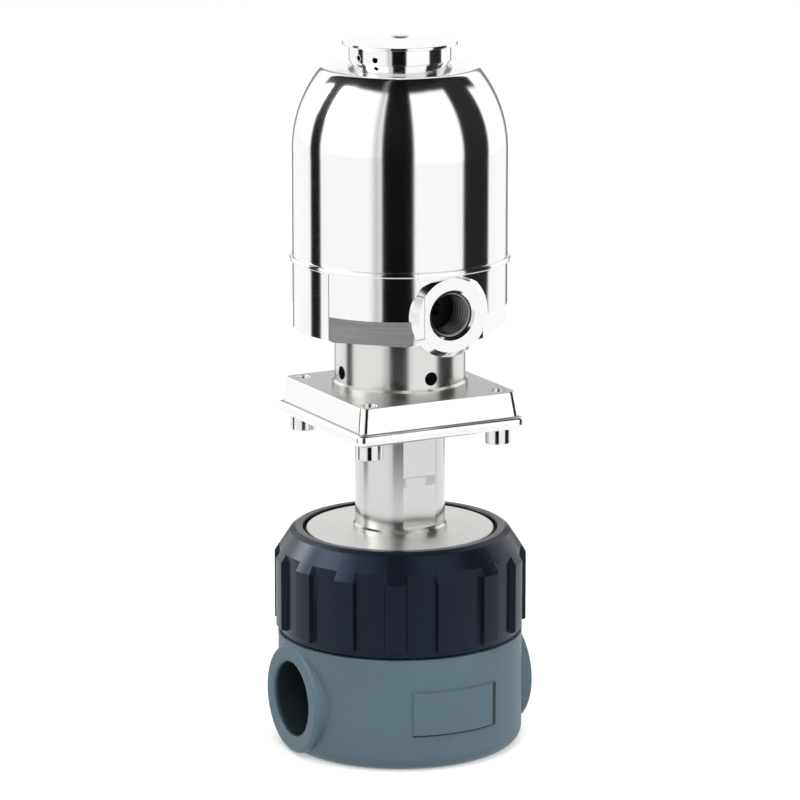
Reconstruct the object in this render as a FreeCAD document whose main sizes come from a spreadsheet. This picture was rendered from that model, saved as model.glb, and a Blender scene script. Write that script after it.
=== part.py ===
import FreeCAD, Part
import math
import os
import re
import Sketcher

# Pneumatic diaphragm control valve, normally closed, about 190 mm tall.
# Frame: millimetres, origin at the centre of the base face, Z up along the spindle,
# X along the pipe, and the control air port faces -Y.

V = FreeCAD.Vector
doc = FreeCAD.newDocument("control_valve")
sheet = doc.addObject("Spreadsheet::Sheet", "Sizes")

SIZES = [
    # plastic valve body
    ("body_radius", 32.5),
    ("body_height", 30.4),
    ("body_foot_round", 4.0),
    ("port_height", 15.0),
    ("port_boss_radius", 14.6),
    ("port_boss_round", 1.2),
    ("port_face_proud", 0.3),
    ("socket_radius", 10.0),
    ("socket_depth", 16.0),
    ("socket_chamfer", 0.5),
    ("passage_radius", 7.0),
    ("passage_bend", 9.0),
    ("weir_thickness", 4.6),
    ("weir_drop", 7.5),
    ("bowl_shelf", 8.0),
    ("land_drop", 1.6),
    ("upstand_step", 3.3),
    ("upstand_wall", 3.75),
    ("upstand_height", 16.4),
    ("label_pad_angle", 43.7),
    ("label_pad_bottom", 10.0),
    ("label_pad_height", 11.6),
    ("label_pad_proud", 0.45),
    # threaded brass inserts in the base
    ("insert_spacing", 25.0),
    ("insert_radius", 4.0),
    ("insert_bore_radius", 2.5),
    ("insert_length", 9.0),
    ("insert_fit", 0.02),
    # diaphragm and what moves it
    ("diaphragm_thickness", 3.0),
    ("diaphragm_rim_gap", 0.2),
    ("soft_gap", 0.3),
    ("stud_radius", 2.0),
    ("stud_head_radius", 3.5),
    ("stud_head_height", 0.9),
    ("stud_head_cover", 0.9),
    ("stud_length", 8.2),
    ("compressor_gap", 0.7),
    ("compressor_rim_height", 3.0),
    ("compressor_hub_radius", 7.0),
    ("compressor_hub_height", 14.0),
    ("cross_pin_radius", 1.0),
    ("cross_pin_drop", 3.0),
    # bonnet disc, spigot and neck
    ("spigot_gap", 0.15),
    ("flange_step", 0.7),
    ("flange_lift", 0.4),
    ("flange_thickness", 7.6),
    ("disc_step", 3.6),
    ("disc_height", 3.5),
    ("disc_edge_chamfer", 0.35),
    ("chamber_wall", 9.7),
    ("chamber_height", 14.0),
    ("neck_radius", 11.9),
    ("neck_height", 29.0),
    ("neck_foot_proud", 0.5),
    ("neck_foot_height", 1.1),
    ("neck_bore_radius", 6.5),
    ("neck_flat_cut", 1.0),
    ("neck_rib_height", 2.4),
    ("neck_rib_lift", 14.6),
    # union nut
    ("nut_gap", 0.4),
    ("nut_thread_gap", 0.3),
    ("nut_skirt_drop", 0.5),
    ("nut_rib_proud", 1.5),
    ("nut_rib_lift", 1.8),
    ("nut_rib_angle", 10.1),
    ("nut_rib_count", 15),
    ("nut_cone_lift", 20.3),
    ("nut_cone_height", 6.6),
    ("nut_cone_draw", 2.8),
    ("nut_lip_height", 0.9),
    ("nut_lip_draw", 1.3),
    ("nut_lip_gap", 0.9),
    ("nut_lip_round", 1.6),
    ("nut_rib_root", 0.6),
    # square flange
    ("lower_plate_width", 49.0),
    ("lower_plate_thickness", 3.2),
    ("plate_corner_radius", 2.2),
    ("lower_plate_round", 1.2),
    ("upper_plate_step", 1.0),
    ("upper_plate_draft", 0.9),
    ("upper_plate_thickness", 6.6),
    ("screw_edge_distance", 5.5),
    ("screw_radius", 2.0),
    ("screw_head_radius", 3.5),
    ("screw_head_height", 4.2),
    ("screw_socket_across", 3.0),
    ("screw_socket_depth", 2.2),
    ("screw_hole_gap", 0.25),
    ("screw_thread_gap", 0.05),
    ("screw_tip_recess", 0.6),
    ("screw_shank_sink", 0.5),
    # distance piece with tell-tale holes
    ("spacer_radius", 17.3),
    ("spacer_height", 15.8),
    ("spacer_foot_proud", 0.6),
    ("spacer_foot_height", 1.4),
    ("spacer_wall", 8.3),
    ("telltale_radius", 1.8),
    ("telltale_lift", 4.7),
    # actuator base housing
    ("housing_radius", 28.25),
    ("housing_skirt_height", 6.7),
    ("housing_flat_cut", 2.35),
    ("housing_height", 18.1),
    ("housing_foot_chamfer", 0.5),
    ("collar_proud", 0.65),
    ("collar_height", 1.3),
    ("plug_height", 5.4),
    ("plug_gap", 0.05),
    ("plug_wall", 5.7),
    ("plug_recess_depth", 1.6),
    ("plug_hub_radius", 9.0),
    ("air_boss_radius", 11.2),
    ("air_boss_lift", 7.9),
    ("air_face_proud", 0.35),
    ("air_boss_chamfer", 1.5),
    ("air_thread_radius", 5.72),
    ("air_thread_length", 9.5),
    ("air_mouth_radius", 6.6),
    ("air_way_radius", 1.8),
    ("air_riser_radius", 1.5),
    ("air_way_distance", 14.0),
    # dome
    ("dome_wall", 1.5),
    ("dome_cylinder_height", 27.65),
    ("dome_arc_radius", 34.3),
    ("dome_arc_height", 21.6),
    ("dome_roof_rise", 2.0),
    ("dome_roof_thickness", 3.6),
    ("dome_roof_ledge", 0.1),
    ("cap_stem_radius", 8.0),
    ("cap_stem_gap", 0.05),
    # top cap
    ("cap_neck_radius", 13.4),
    ("cap_neck_height", 4.0),
    ("cap_disc_proud", 1.7),
    ("cap_disc_edge", 0.8),
    ("cap_disc_crown", 0.9),
    ("cap_stem_length", 5.0),
    ("cap_cavity_radius", 5.0),
    ("cap_disc_floor", 0.8),
    ("cap_seal_inset", 2.6),
    ("vent_radius", 0.75),
    ("vent_lift", 1.25),
    ("vent_first_turn", 9.0),
    ("vent_second_turn", 33.4),
    # spindle, piston, pin and springs
    ("spindle_radius", 4.0),
    ("spindle_fit", 0.03),
    ("spindle_bottom_lift", 0.6),
    ("spindle_neck_radius", 3.0),
    ("piston_gap", 0.3),
    ("piston_thickness", 7.5),
    ("piston_seal_gap", 0.03),
    ("piston_clearance", 0.3),
    ("piston_hub_fit", 0.03),
    ("piston_relief_depth", 2.4),
    ("piston_rim", 5.95),
    ("washer_radius", 6.5),
    ("washer_thickness", 1.2),
    ("locknut_across", 10.0),
    ("locknut_height", 5.0),
    ("spindle_tip", 1.0),
    ("indicator_radius", 2.2),
    ("indicator_shank_radius", 1.5),
    ("indicator_shank_length", 5.0),
    ("indicator_fit", 0.05),
    ("indicator_proud", 0.3),
    ("bush_outer_radius", 6.0),
    ("bush_length", 8.0),
    ("bush_fit", 0.02),
    ("pin_fit", 0.02),
    ("seal_section", 1.8),
    ("seal_gap", 0.05),
    ("seal_slack", 0.3),
    ("seal_cover", 0.8),
    ("spindle_clearance", 0.2),
    ("ring_section", 2.2),
    ("outer_spring_inset", 3.7),
    ("outer_spring_wire", 3.2),
    ("outer_spring_turns", 4.5),
    ("inner_spring_step", 6.4),
    ("inner_spring_wire", 2.2),
    ("inner_spring_turns", 6.5),
    ("spring_seat_gap", 0.2),
]

# Places that follow from the sizes above, each as a formula.
PLACES = {
    "port_face": "body_radius + port_face_proud",
    "upstand_radius": "body_radius - upstand_step",
    "spigot_radius": "upstand_radius - upstand_wall - spigot_gap",
    "bowl_radius": "spigot_radius - bowl_shelf",
    "diaphragm_radius": "spigot_radius - diaphragm_rim_gap",
    "flange_radius": "upstand_radius - flange_step",
    "disc_radius": "flange_radius - disc_step",
    "nut_skirt_radius": "body_radius - nut_skirt_drop",
    "nut_rib_radius": "nut_skirt_radius + nut_rib_proud",
    "nut_cone_top_radius": "nut_skirt_radius - nut_cone_draw",
    "nut_lip_outer_radius": "nut_cone_top_radius - nut_lip_draw",
    "land_z": "body_height - land_drop",
    "weir_z": "land_z - weir_drop",
    "bowl_sphere": "(bowl_radius ^ 2 + weir_drop ^ 2) / (2 * weir_drop)",
    "bowl_centre_z": "weir_z + bowl_sphere",
    "upstand_top": "body_height + upstand_height",
    "passage_x": "weir_thickness / 2 + passage_radius",
    "passage_start_x": "passage_x + passage_bend",
    "socket_bottom_x": "port_face - socket_depth",
    "under_sphere": "bowl_sphere - soft_gap",
    "over_sphere": "under_sphere - diaphragm_thickness",
    "presser_sphere": "over_sphere - soft_gap",
    "clamp_z": "land_z + diaphragm_thickness",
    "diaphragm_bottom": "bowl_centre_z - under_sphere",
    "presser_bottom": "bowl_centre_z - presser_sphere",
    "presser_edge_z": "bowl_centre_z - sqrt(presser_sphere ^ 2 - compressor_radius ^ 2)",
    "presser_rim_z": "presser_edge_z + compressor_rim_height",
    "presser_top": "presser_bottom + compressor_hub_height",
    "stud_bottom": "diaphragm_bottom + stud_head_cover",
    "stud_top": "stud_bottom + stud_length",
    "spindle_bottom": "stud_top + spindle_bottom_lift",
    "cross_pin_z": "presser_top - cross_pin_drop",
    "flange_z": "upstand_top + flange_lift",
    "flange_top": "flange_z + flange_thickness",
    "disc_z": "flange_top + disc_height",
    "chamber_radius": "spigot_radius - chamber_wall",
    "chamber_top": "clamp_z + chamber_height",
    "compressor_radius": "chamber_radius - compressor_gap",
    "lower_bush_z": "disc_z - bush_length",
    "lower_seal_z": "lower_bush_z - seal_cover - seal_section - seal_slack",
    "neck_top": "disc_z + neck_height",
    "neck_foot_radius": "neck_radius + neck_foot_proud",
    "neck_flat_distance": "neck_radius - neck_flat_cut",
    "nut_z": "body_height + nut_gap",
    "nut_bore_radius": "upstand_radius + nut_thread_gap",
    "nut_cone_z": "nut_z + nut_cone_lift",
    "nut_cone_top_z": "nut_cone_z + nut_cone_height",
    "nut_top": "nut_cone_top_z + nut_lip_height",
    "nut_hole_radius": "disc_radius + nut_lip_gap",
    "plate_top": "neck_top + lower_plate_thickness",
    "upper_plate_bottom_width": "lower_plate_width - 2 * upper_plate_step",
    "upper_plate_top_width": "upper_plate_bottom_width - 2 * upper_plate_draft",
    "screw_spacing": "lower_plate_width - 2 * screw_edge_distance",
    "deck_z": "plate_top + upper_plate_thickness",
    "spacer_foot_radius": "spacer_radius + spacer_foot_proud",
    "spacer_bore_radius": "spacer_radius - spacer_wall",
    "housing_z": "deck_z + spacer_height",
    "housing_flat_distance": "housing_radius - housing_flat_cut",
    "collar_radius": "housing_radius + collar_proud",
    "telltale_z": "deck_z + telltale_lift",
    "collar_z": "housing_z + housing_height",
    "collar_top": "collar_z + collar_height",
    "plug_top": "collar_top + plug_height",
    "air_z": "housing_z + air_boss_lift",
    "air_face": "housing_radius + air_face_proud",
    "air_boss_end": "spacer_radius + soft_gap",
    "bore_radius": "housing_radius - dome_wall",
    "dome_arc_z": "collar_top + dome_cylinder_height",
    "rim_z": "dome_arc_z + dome_arc_height",
    "arc_centre_r": "housing_radius - dome_arc_radius",
    "rim_radius": "arc_centre_r + sqrt(dome_arc_radius ^ 2 - dome_arc_height ^ 2)",
    "roof_z": "rim_z + dome_roof_rise",
    "ceiling_z": "roof_z - dome_roof_thickness",
    "inner_arc_radius": "dome_arc_radius - dome_wall",
    "ceiling_radius": "arc_centre_r + sqrt(inner_arc_radius ^ 2 - (ceiling_z - dome_arc_z) ^ 2)",
    "dome_roof_radius": "cap_neck_radius + dome_roof_ledge",
    "cap_disc_radius": "cap_neck_radius + cap_disc_proud",
    "cap_seal_radius": "cap_neck_radius - cap_seal_inset",
    "cap_neck_top": "roof_z + cap_neck_height",
    "cap_top": "cap_neck_top + cap_disc_edge + cap_disc_crown",
    "cap_sphere": "(cap_disc_radius ^ 2 + cap_disc_crown ^ 2) / (2 * cap_disc_crown)",
    "piston_z": "plug_top + piston_gap",
    "piston_top": "piston_z + piston_thickness",
    "piston_radius": "bore_radius - piston_clearance",
    "piston_relief_radius": "piston_radius - piston_rim",
    "outer_spring_radius": "piston_relief_radius - outer_spring_inset",
    "inner_spring_radius": "outer_spring_radius - inner_spring_step",
    "washer_top": "piston_dish_z + washer_thickness",
    "locknut_top": "washer_top + locknut_height",
    "upper_seal_z": "plug_top - seal_cover - seal_section - seal_slack",
    "middle_seal_z": "housing_z + bush_length + seal_cover",
    "boss_root_x": "spigot_radius + port_boss_round",
    "membrane_radius": "sqrt(under_sphere ^ 2 - (bowl_centre_z - land_z) ^ 2)",
    "membrane_inner_radius": "sqrt(over_sphere ^ 2 - (bowl_centre_z - clamp_z) ^ 2)",
    "bush_seat_radius": "bush_outer_radius + bush_fit",
    "spindle_way_radius": "spindle_radius + spindle_clearance",
    "seal_groove_radius": "spindle_radius + spindle_fit + seal_section + seal_gap",
    "nut_skirt_cone_z": "nut_cone_z + (nut_rib_radius - nut_skirt_radius) * nut_cone_height"
                        " / (nut_rib_radius - nut_cone_top_radius)",
    "plug_radius": "bore_radius - plug_gap",
    "plug_recess_radius": "plug_radius - plug_wall",
    "plug_groove_z": "collar_top + (plug_height - ring_section - seal_slack) / 2",
    "plug_groove_radius": "bore_radius - 2 * seal_gap - ring_section",
    "air_way_end": "air_way_distance - air_way_radius",
    "cap_hole_radius": "cap_stem_radius + cap_stem_gap",
    "cap_groove_inner": "cap_seal_radius - seal_section / 2 - seal_gap",
    "cap_groove_outer": "cap_seal_radius + seal_section / 2 + seal_gap",
    "indicator_way": "indicator_radius + indicator_fit",
    "piston_dish_z": "piston_top - piston_relief_depth",
    "piston_groove_z": "piston_z + (piston_thickness - ring_section - seal_slack) / 2",
    "piston_groove_radius": "bore_radius - piston_seal_gap - ring_section - seal_gap",
    "spindle_top": "locknut_top + spindle_tip",
}

FUNCTIONS = ("sqrt", "tan")


def fill_sheet():
    """Name every driving size in the sheet."""
    for row, (name, size) in enumerate(SIZES, start=1):
        sheet.set(f"A{row}", name)
        sheet.set(f"B{row}", str(size))
        sheet.setAlias(f"B{row}", name)
    doc.recompute()


def formula(text):
    """Write out a formula with each derived place replaced and each cell named in full."""
    def full_name(match):
        name = match.group(0)
        if name in PLACES:
            return "(" + formula(PLACES[name]) + ")"
        return name if name in FUNCTIONS else "Sizes." + name
    return re.sub(r"[a-z][a-z_]*", full_name, text)


def value(text):
    """The present value of a formula."""
    return float(sheet.evalExpression(formula(text)))


def origin_feature(body, role):
    """The origin plane or axis of a body, found by its role."""
    return next(item for item in body.Origin.OriginFeatures if item.Role == role)


def new_body(label):
    """An empty body whose label is its node name."""
    body = doc.addObject("PartDesign::Body", "Body_" + label)
    body.Label = label
    return body


def new_sketch(body, name, plane="XZ_Plane", lift="0"):
    """A sketch on an origin plane of its body, moved along the plane's normal by a formula."""
    sketch = body.newObject("Sketcher::SketchObject", f"{body.Label}_{name}")
    sketch.AttachmentSupport = (origin_feature(body, plane), [""])
    sketch.MapMode = "FlatFace"
    if lift != "0":
        sketch.setExpression(".AttachmentOffset.Base.z", formula(lift))
    return sketch


def hold(sketch, kind, place, expression, geometry, point=1):
    """Hold one coordinate of a point at a formula, or on the sketch's axis when it is zero."""
    axis = -2 if kind == "DistanceX" else -1
    if expression == "0":
        sketch.addConstraint(Sketcher.Constraint("PointOnObject", geometry, point, axis))
        return
    index = sketch.addConstraint(Sketcher.Constraint(kind, -1, 1, geometry, point, place))
    sketch.setExpression(f"Constraints[{index}]", formula(expression))


def arc_between(start, end, radius, turn):
    """The arc of a given radius from start to end, turning left (+1) or right (-1)."""
    chord = end - start
    half = chord.Length / 2
    side = V(-chord.y, chord.x, 0).normalize()
    centre = (start + end) / 2 + side * turn * math.sqrt(max(radius ** 2 - half ** 2, 0.0))
    first, last = (start, end) if turn > 0 else (end, start)
    angles = [math.atan2(p.y - centre.y, p.x - centre.x) for p in (first, last)]
    circle = Part.Circle(centre, V(0, 0, 1), radius)
    return Part.ArcOfCircle(circle, angles[0], angles[1])


def draw(sketch, corners, closed=True):
    """Draw an outline through its corners, each held by its own formulas.

    A corner is (x, y), or (x, y, radius, turn) where an arc leads to it from the corner before.
    """
    spots = [V(value(corner[0]), value(corner[1]), 0) for corner in corners]
    count = len(corners)
    legs = range(count) if closed else range(1, count)
    edges = []
    for number in legs:
        start, end, corner = spots[number - 1], spots[number], corners[number]
        if len(corner) == 2:
            index = sketch.addGeometry(Part.LineSegment(start, end))
            edges.append((index, 1, 2))
            continue
        index = sketch.addGeometry(arc_between(start, end, value(corner[2]), corner[3]))
        edges.append((index, 1, 2) if corner[3] > 0 else (index, 2, 1))
        held = sketch.addConstraint(Sketcher.Constraint("Radius", index, value(corner[2])))
        sketch.setExpression(f"Constraints[{held}]", formula(corner[2]))
    for place, edge in enumerate(edges):
        if place or closed:
            before = edges[place - 1]
            sketch.addConstraint(Sketcher.Constraint("Coincident", before[0], before[2], edge[0], edge[1]))
    for edge, number in zip(edges, legs):
        hold(sketch, "DistanceX", spots[number].x, corners[number][0], edge[0], edge[2])
        hold(sketch, "DistanceY", spots[number].y, corners[number][1], edge[0], edge[2])
    if not closed:
        hold(sketch, "DistanceX", spots[0].x, corners[0][0], edges[0][0], edges[0][1])
        hold(sketch, "DistanceY", spots[0].y, corners[0][1], edges[0][0], edges[0][1])


def circle(sketch, x, y, radius):
    """Draw a circle whose centre and radius follow formulas."""
    centre = V(value(x), value(y), 0)
    index = sketch.addGeometry(Part.Circle(centre, V(0, 0, 1), value(radius)))
    hold(sketch, "DistanceX", centre.x, x, index, 3)
    hold(sketch, "DistanceY", centre.y, y, index, 3)
    held = sketch.addConstraint(Sketcher.Constraint("Radius", index, value(radius)))
    sketch.setExpression(f"Constraints[{held}]", formula(radius))


def axis_line(sketch, height):
    """A level construction line at a height, used as the axis of a turned feature."""
    level = value(height)
    index = sketch.addGeometry(Part.LineSegment(V(0, level, 0), V(1, level, 0)), True)
    hold(sketch, "DistanceX", 0, "0", index, 1)
    hold(sketch, "DistanceY", level, height, index, 1)
    sketch.addConstraint(Sketcher.Constraint("Horizontal", index))
    held = sketch.addConstraint(Sketcher.Constraint("DistanceX", index, 1, index, 2, 1.0))
    sketch.renameConstraint(held, "axis_length")


def turn(body, name, outlines, kind="Revolution", plane="XZ_Plane", axis_height=None, angle="360"):
    """Turn outlines about the body's Z axis, or about a level axis at a height."""
    before = body.Shape.Volume if body.Tip else 0.0
    sketch = new_sketch(body, name + "_outline", plane)
    if axis_height:
        axis_line(sketch, axis_height)
    for outline in outlines:
        draw(sketch, outline)
    feature = body.newObject("PartDesign::" + kind, f"{body.Label}_{name}")
    feature.Profile = sketch
    feature.ReferenceAxis = (sketch, ["Axis0" if axis_height else "V_Axis"])
    if angle == "360":
        feature.Angle = 360
    else:
        feature.Midplane = True
        feature.setExpression("Angle", formula(angle))
    finish_feature(body, feature, before)
    return feature


def extrude(body, sketch, name, length, kind="Pocket", midplane=False, reverse=False):
    """Pad or pocket a sketch along its plane's normal."""
    before = body.Shape.Volume if body.Tip else 0.0
    feature = body.newObject("PartDesign::" + kind, f"{body.Label}_{name}")
    feature.Profile = sketch
    feature.Midplane = midplane
    feature.Reversed = reverse
    feature.setExpression("Length", formula(length))
    finish_feature(body, feature, before)
    return feature


def pattern(body, original, count, name):
    """Repeat a feature round the Z axis."""
    before = body.Shape.Volume
    feature = body.newObject("PartDesign::PolarPattern", f"{body.Label}_{name}")
    feature.Originals = [original]
    feature.Axis = (origin_feature(body, "Z_Axis"), [""])
    feature.Angle = 360
    feature.setExpression("Occurrences", formula(count) if not count.isdigit() else count)
    finish_feature(body, feature, before)
    return feature


def finish_feature(body, feature, before):
    """Make a feature the tip of its body and check that it has changed the solid."""
    body.Tip = feature
    doc.recompute()
    if abs(feature.Shape.Volume - before) < 1e-6:
        raise RuntimeError(feature.Name + " changed nothing")


def valve_body():
    """The moulded body: round block, two sockets in line, weir passage, bowl and threaded upstand."""
    body = new_body("valve_body")
    turn(body, "block", [[
        ("0", "0"),
        ("body_radius - body_foot_round", "0"),
        ("body_radius", "body_foot_round", "body_foot_round", 1),
        ("body_radius", "body_height"),
        ("upstand_radius", "body_height"),
        ("upstand_radius", "upstand_top"),
        ("spigot_radius + spigot_gap", "upstand_top"),
        ("spigot_radius + spigot_gap", "land_z"),
        ("bowl_radius", "land_z"),
        ("0", "weir_z", "bowl_sphere", -1),
    ]])
    pad_outer = "-(body_radius + label_pad_proud)"
    pad_inner = "-(body_radius - label_pad_proud)"
    turn(body, "label_pad", [[
        (pad_outer, "label_pad_bottom"),
        (pad_inner, "label_pad_bottom"),
        (pad_inner, "label_pad_bottom + label_pad_height"),
        (pad_outer, "label_pad_bottom + label_pad_height"),
    ]], plane="YZ_Plane", angle="label_pad_angle")
    bosses = [[
        (side + "(boss_root_x)", "port_height"),
        (side + "(boss_root_x)", "port_height + port_boss_radius"),
        (side + "(port_face - port_boss_round)", "port_height + port_boss_radius"),
        (side + "(port_face)", "port_height + port_boss_radius - port_boss_round", "port_boss_round", way),
        (side + "(port_face)", "port_height"),
    ] for side, way in (("", -1), ("-", 1))]
    turn(body, "bosses", bosses, axis_height="port_height")
    turn(body, "sockets", [[
        (side + "(socket_bottom_x)", "port_height"),
        (side + "(socket_bottom_x)", "port_height + socket_radius"),
        (side + "(port_face - socket_chamfer)", "port_height + socket_radius"),
        (side + "(port_face)", "port_height + socket_radius + socket_chamfer"),
        (side + "(port_face)", "port_height + port_boss_radius - port_boss_round"),
        (side + "(body_radius + port_boss_round)", "port_height + port_boss_radius - port_boss_round"),
        (side + "(body_radius + port_boss_round)", "port_height"),
    ] for side in ("", "-")], kind="Groove", axis_height="port_height")
    weir_passage(body)
    holes = new_sketch(body, "insert_holes", "XY_Plane")
    for side in ("", "-"):
        circle(holes, "0", side + "insert_spacing / 2", "insert_radius + insert_fit")
    extrude(body, holes, "insert_pockets", "insert_length", reverse=True)
    return body


def weir_passage(body):
    """A round way that bends from each socket up into the bowl, leaving the weir between them."""
    route = new_sketch(body, "passage_route")
    draw(route, [
        ("port_face", "port_height"),
        ("passage_start_x", "port_height"),
        ("passage_x", "port_height + passage_bend", "passage_bend", -1),
        ("passage_x", "land_z"),
    ], closed=False)
    mouth = new_sketch(body, "passage_mouth", "YZ_Plane", "port_face")
    circle(mouth, "0", "port_height", "passage_radius")
    before = body.Shape.Volume
    pipe = body.newObject("PartDesign::SubtractivePipe", "valve_body_passage")
    pipe.Profile = mouth
    pipe.Spine = (route, [])
    finish_feature(body, pipe, before)
    before = body.Shape.Volume
    mirror = body.newObject("PartDesign::Mirrored", "valve_body_passages")
    mirror.Originals = [pipe]
    mirror.MirrorPlane = (origin_feature(body, "YZ_Plane"), [""])
    finish_feature(body, mirror, before)


def mounting_inserts():
    """Two brass bushes moulded into the base for the mounting screws."""
    body = new_body("mounting_inserts")
    rings = new_sketch(body, "rings", "XY_Plane")
    for side in ("", "-"):
        circle(rings, "0", side + "insert_spacing / 2", "insert_radius")
        circle(rings, "0", side + "insert_spacing / 2", "insert_bore_radius")
    extrude(body, rings, "bushes", "insert_length", kind="Pad")


def diaphragm():
    """The rubber diaphragm: clamped rim, membrane lying in the bowl, and a pocket for its stud."""
    body = new_body("diaphragm")
    turn(body, "membrane", [[
        ("0", "diaphragm_bottom"),
        ("membrane_radius", "land_z", "under_sphere", 1),
        ("diaphragm_radius", "land_z"),
        ("diaphragm_radius", "clamp_z"),
        ("membrane_inner_radius", "clamp_z"),
        ("stud_radius + pin_fit", "bowl_centre_z - sqrt(over_sphere ^ 2 - (stud_radius + pin_fit) ^ 2)",
         "over_sphere", -1),
        ("stud_radius + pin_fit", "stud_bottom + stud_head_height"),
        ("stud_head_radius", "stud_bottom + stud_head_height"),
        ("stud_head_radius", "stud_bottom"),
        ("0", "stud_bottom"),
    ]])


def diaphragm_stud():
    """The headed stud that is moulded into the diaphragm and screwed into the compressor."""
    body = new_body("diaphragm_stud")
    turn(body, "stud", [[
        ("0", "stud_bottom"),
        ("stud_head_radius - pin_fit", "stud_bottom"),
        ("stud_head_radius - pin_fit", "stud_bottom + stud_head_height - pin_fit"),
        ("stud_radius", "stud_bottom + stud_head_height - pin_fit"),
        ("stud_radius", "stud_top"),
        ("0", "stud_top"),
    ]])


def compressor():
    """The domed presser that pushes the diaphragm onto the weir."""
    body = new_body("compressor")
    turn(body, "presser", [[
        ("stud_radius + pin_fit", "bowl_centre_z - sqrt(presser_sphere ^ 2 - (stud_radius + pin_fit) ^ 2)"),
        ("compressor_radius", "presser_edge_z", "presser_sphere", 1),
        ("compressor_radius", "presser_rim_z"),
        ("compressor_hub_radius", "presser_rim_z"),
        ("compressor_hub_radius", "presser_top"),
        ("spindle_radius + pin_fit", "presser_top"),
        ("spindle_radius + pin_fit", "spindle_bottom - soft_gap"),
        ("stud_radius + pin_fit", "spindle_bottom - soft_gap"),
    ]])
    cross_hole(body)


def cross_hole(body):
    """The hole along Y for the pin that locks compressor and spindle together."""
    hole = new_sketch(body, "cross_hole")
    circle(hole, "0", "cross_pin_z", "cross_pin_radius + pin_fit")
    extrude(body, hole, "cross_bore", "2 * compressor_radius", midplane=True)


def compressor_pin():
    """The cross pin through compressor hub and spindle."""
    body = new_body("compressor_pin")
    section = new_sketch(body, "section")
    circle(section, "0", "cross_pin_z", "cross_pin_radius")
    extrude(body, section, "pin", "2 * compressor_hub_radius - soft_gap", kind="Pad", midplane=True)


def bonnet():
    """The steel cover: spigot that clamps the diaphragm, flange under the nut and the bright disc."""
    body = new_body("bonnet")
    turn(body, "cover", [[
        ("chamber_radius", "clamp_z"),
        ("spigot_radius", "clamp_z"),
        ("spigot_radius", "flange_z"),
        ("flange_radius", "flange_z"),
        ("flange_radius", "flange_top"),
        ("disc_radius", "flange_top"),
        ("disc_radius", "disc_z - disc_edge_chamfer"),
        ("disc_radius - disc_edge_chamfer", "disc_z"),
        ("bush_seat_radius", "disc_z"),
        ("bush_seat_radius", "lower_bush_z"),
        ("spindle_way_radius", "lower_bush_z"),
        *seal_groove("lower_seal_z"),
        ("spindle_way_radius", "chamber_top"),
        ("chamber_radius", "chamber_top"),
    ]])


def seal_groove(place):
    """Corners of an inner groove for a spindle seal, listed downwards."""
    return [
        ("spindle_way_radius", place + " + seal_section + seal_slack"),
        ("seal_groove_radius", place + " + seal_section + seal_slack"),
        ("seal_groove_radius", place),
        ("spindle_way_radius", place),
    ]


def round_section(radius, height, thickness):
    """Corners of a wire's or ring's round section, drawn as an octagon to keep its faces few."""
    half = f"({thickness}) / 2"
    short = f"({thickness}) / 2 * tan(22.5)"
    steps = [("+ " + half, "- " + short), ("+ " + half, "+ " + short), ("+ " + short, "+ " + half),
             ("- " + short, "+ " + half), ("- " + half, "+ " + short), ("- " + half, "- " + short),
             ("- " + short, "- " + half), ("+ " + short, "- " + half)]
    return [(f"{radius} {across}", f"{height} {up}") for across, up in steps]


def spindle_seals():
    """Three O-rings on the spindle: one in the bonnet and two in the actuator base."""
    body = new_body("spindle_seals")
    turn(body, "rings", [
        round_section("spindle_radius + spindle_fit + seal_section / 2",
                      place + " + (seal_section + seal_slack) / 2", "seal_section")
        for place in ("lower_seal_z", "middle_seal_z", "upper_seal_z")])


def guide_bush(label, bottom):
    """A plain bearing bush for the spindle."""
    body = new_body(label)
    turn(body, "tube", [[
        ("spindle_radius + spindle_fit", bottom),
        ("bush_outer_radius", bottom),
        ("bush_outer_radius", bottom + " + bush_length"),
        ("spindle_radius + spindle_fit", bottom + " + bush_length"),
    ]])


def union_nut():
    """The moulded union nut: threaded skirt, castellated grip ribs, cone and inner shoulder."""
    body = new_body("union_nut")
    turn(body, "shell", [[
        ("nut_bore_radius", "nut_z"),
        ("nut_skirt_radius", "nut_z"),
        ("nut_skirt_radius", "nut_skirt_cone_z"),
        ("nut_cone_top_radius", "nut_cone_top_z"),
        ("nut_lip_outer_radius", "nut_top", "nut_lip_round", 1),
        ("nut_hole_radius", "nut_top"),
        ("nut_hole_radius", "flange_top"),
        ("nut_bore_radius", "flange_top"),
    ]])
    root = "nut_skirt_radius - nut_rib_root"
    rib = turn(body, "rib", [[
        (root, "nut_z + nut_rib_lift"),
        ("nut_rib_radius", "nut_z + nut_rib_lift"),
        ("nut_rib_radius", "nut_cone_z"),
        ("nut_skirt_radius", "nut_skirt_cone_z"),
        (root, "nut_skirt_cone_z"),
    ]], angle="nut_rib_angle")
    pattern(body, rib, "nut_rib_count", "ribs")


def neck_tube():
    """The neck between disc and flange: foot, spanner flats above and below a rib."""
    body = new_body("neck_tube")
    turn(body, "tube", [[
        ("neck_bore_radius", "disc_z"),
        ("neck_foot_radius", "disc_z"),
        ("neck_foot_radius", "disc_z + neck_foot_height"),
        ("neck_radius", "disc_z + neck_foot_height + neck_foot_radius - neck_radius"),
        ("neck_radius", "neck_top"),
        ("neck_bore_radius", "neck_top"),
    ]])
    windows = new_sketch(body, "flat_windows", "XZ_Plane", "neck_flat_distance")
    for low, high in (("disc_z + 2 * neck_foot_height", "disc_z + neck_rib_lift - neck_rib_height / 2"),
                      ("disc_z + neck_rib_lift + neck_rib_height / 2", "neck_top")):
        draw(windows, [
            ("-neck_radius", low),
            ("neck_radius", low),
            ("neck_radius", high),
            ("-neck_radius", high),
        ])
    flat = extrude(body, windows, "flat", "neck_radius", reverse=True)
    pattern(body, flat, "2", "flats")


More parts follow.
